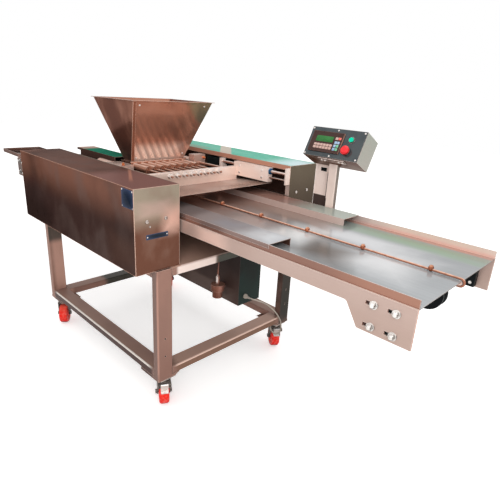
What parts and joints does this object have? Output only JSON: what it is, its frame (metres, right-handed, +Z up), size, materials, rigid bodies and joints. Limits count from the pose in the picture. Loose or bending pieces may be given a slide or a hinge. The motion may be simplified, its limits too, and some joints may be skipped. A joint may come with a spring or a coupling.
{
  "type": "jelly candy depositor",
  "caption": "Wheeled stainless depositor with a hopper, a multi-piston head between two casings, a long mould table with pusher cord and an operator panel on a post.",
  "frame": {"origin": "on the floor under the middle of the machine's overall box", "axes": "+X along the table to the outfeed, +Y to the back where the panel stands, +Z up"},
  "size_m": [3.28, 1.104, 1.387],
  "materials": {
    "stainless": "brushed",
    "casing_steel": "brushed",
    "table_steel": "satin",
    "hopper_steel": "polished",
    "zinc": "zinc plated",
    "satin_alloy": "satin",
    "chrome_rod": "polished",
    "bronze": "turned",
    "black_plastic": "matt",
    "terminal_plastic": "matt",
    "cord": "woven",
    "red_tread": "moulded polyurethane",
    "green_plastic": "moulded",
    "red_plastic": "moulded",
    "blue_seal": "moulded",
    "cabinet_paint": "satin paint",
    "panel_paint": "satin paint",
    "cable_sheath": "smooth sheath"
  },
  "bodies": {
    "machine": {"legs": "stainless", "lower_rails": "stainless", "upper_rails": "stainless", "caster_plates": "zinc", "bed_sheet": "stainless", "near_casing": "casing_steel", "near_end_cover": "casing_steel", "far_casing": "casing_steel", "far_end_plate": "casing_steel", "table_tray": "table_steel", "side_plate_near": "stainless", "side_plate_far": "stainless", "near_guide": "table_steel", "far_guide": "table_steel", "infeed_shelf": "table_steel", "conveyor_stands": "stainless", "bearing_housings": "zinc", "plate_bolts": "zinc", "pusher_cord": "cord", "pushers": "bronze", "head_plate": "stainless", "manifold": "satin_alloy", "hopper": "hopper_steel", "cylinder_tubes": "stainless", "front_flange": "satin_alloy", "nozzles": "bronze", "guide_rods": "chrome_rod", "rod_brackets": "satin_alloy", "drive_cylinders": "satin_alloy", "drive_covers": "stainless", "valve_actuator": "black_plastic", "cabinet": "cabinet_paint", "supply_cable": "cable_sheath", "air_filter": "satin_alloy", "panel_post": "stainless", "panel_box": "stainless", "panel_face": "panel_paint", "terminal": "terminal_plastic", "cable_duct": "stainless"},
    "piston_carriage": {"piston_rods": "chrome_rod", "crossbar": "satin_alloy", "rod_nuts": "zinc", "carriage_blocks": "satin_alloy", "rod_seals": "blue_seal", "drip_guard": "stainless"},
    "valve": {"valve_spindle": "stainless"},
    "outfeed_drive": {"outfeed_pulley": "black_plastic"},
    "infeed_idler": {"infeed_pulley": "black_plastic"},
    "start": {"start_button": "green_plastic"},
    "stop": {"stop_button": "red_plastic"},
    "swivel_near_outfeed": {"caster_fork_near_outfeed": "zinc"},
    "rolling_near_outfeed": {"caster_wheel_near_outfeed": "red_tread"},
    "brake_near_outfeed": {"brake_pedal_near_outfeed": "zinc"},
    "swivel_near_infeed": {"caster_fork_near_infeed": "zinc"},
    "rolling_near_infeed": {"caster_wheel_near_infeed": "red_tread"},
    "swivel_far_outfeed": {"caster_fork_far_outfeed": "zinc"},
    "rolling_far_outfeed": {"caster_wheel_far_outfeed": "red_tread"},
    "brake_far_outfeed": {"brake_pedal_far_outfeed": "zinc"},
    "swivel_far_infeed": {"caster_fork_far_infeed": "zinc"},
    "rolling_far_infeed": {"caster_wheel_far_infeed": "red_tread"}
  },
  "joints": [
    {"name": "carriage_slide", "type": "slide", "parent": "machine", "child": "piston_carriage", "axis": [1, 0, 0], "range_m": [-0.1, 0]},
    {"name": "valve_turn", "type": "hinge", "parent": "machine", "child": "valve", "pos_m": [-0.1035, 0, 1.036], "axis": [0, 1, 0], "range_deg": [0, 90]},
    {"name": "outfeed_spin", "type": "hinge", "parent": "machine", "child": "outfeed_drive", "pos_m": [1.534, 0, 0.855], "axis": [0, 1, 0], "continuous": true},
    {"name": "infeed_spin", "type": "hinge", "parent": "machine", "child": "infeed_idler", "pos_m": [-1.249, 0, 0.871], "axis": [0, 1, 0], "continuous": true},
    {"name": "start_press", "type": "slide", "parent": "machine", "child": "start", "axis": [0, 0.887, -0.4617], "range_m": [0, 0.003], "stiffness_N_per_m": 900},
    {"name": "stop_press", "type": "slide", "parent": "machine", "child": "stop", "axis": [0, 0.887, -0.4617], "range_m": [0, 0.004], "stiffness_N_per_m": 2000},
    {"name": "swivel_turn_near_outfeed", "type": "hinge", "parent": "machine", "child": "swivel_near_outfeed", "pos_m": [0.543, -0.402, 0.15], "axis": [0, 0, 1], "continuous": true},
    {"name": "wheel_roll_near_outfeed", "type": "hinge", "parent": "swivel_near_outfeed", "child": "rolling_near_outfeed", "pos_m": [0.52568, -0.392, 0.0625], "axis": [-0.5, -0.866, 0], "continuous": true},
    {"name": "brake_press_near_outfeed", "type": "hinge", "parent": "swivel_near_outfeed", "child": "brake_near_outfeed", "pos_m": [0.57764, -0.422, 0.134], "axis": [0.5, 0.866, 0], "range_deg": [0, 11]},
    {"name": "swivel_turn_near_infeed", "type": "hinge", "parent": "machine", "child": "swivel_near_infeed", "pos_m": [-0.543, -0.402, 0.15], "axis": [0, 0, 1], "continuous": true},
    {"name": "wheel_roll_near_infeed", "type": "hinge", "parent": "swivel_near_infeed", "child": "rolling_near_infeed", "pos_m": [-0.52682, -0.41376, 0.0625], "axis": [0.5878, 0.809, 0], "continuous": true},
    {"name": "swivel_turn_far_outfeed", "type": "hinge", "parent": "machine", "child": "swivel_far_outfeed", "pos_m": [0.543, 0.402, 0.15], "axis": [0, 0, 1], "continuous": true},
    {"name": "wheel_roll_far_outfeed", "type": "hinge", "parent": "swivel_far_outfeed", "child": "rolling_far_outfeed", "pos_m": [0.52662, 0.41347, 0.0625], "axis": [-0.5736, -0.8192, 0], "continuous": true},
    {"name": "brake_press_far_outfeed", "type": "hinge", "parent": "swivel_far_outfeed", "child": "brake_far_outfeed", "pos_m": [0.57577, 0.37906, 0.134], "axis": [0.5736, 0.8192, 0], "range_deg": [0, 11]},
    {"name": "swivel_turn_far_infeed", "type": "hinge", "parent": "machine", "child": "swivel_far_infeed", "pos_m": [-0.543, 0.402, 0.15], "axis": [0, 0, 1], "continuous": true},
    {"name": "wheel_roll_far_infeed", "type": "hinge", "parent": "swivel_far_infeed", "child": "rolling_far_infeed", "pos_m": [-0.56032, 0.412, 0.0625], "axis": [-0.5, -0.866, 0], "continuous": true}
  ],
  "couplings": [
    {"joint": "infeed_spin", "follows": "outfeed_spin", "ratio": -1.1556}
  ]
}
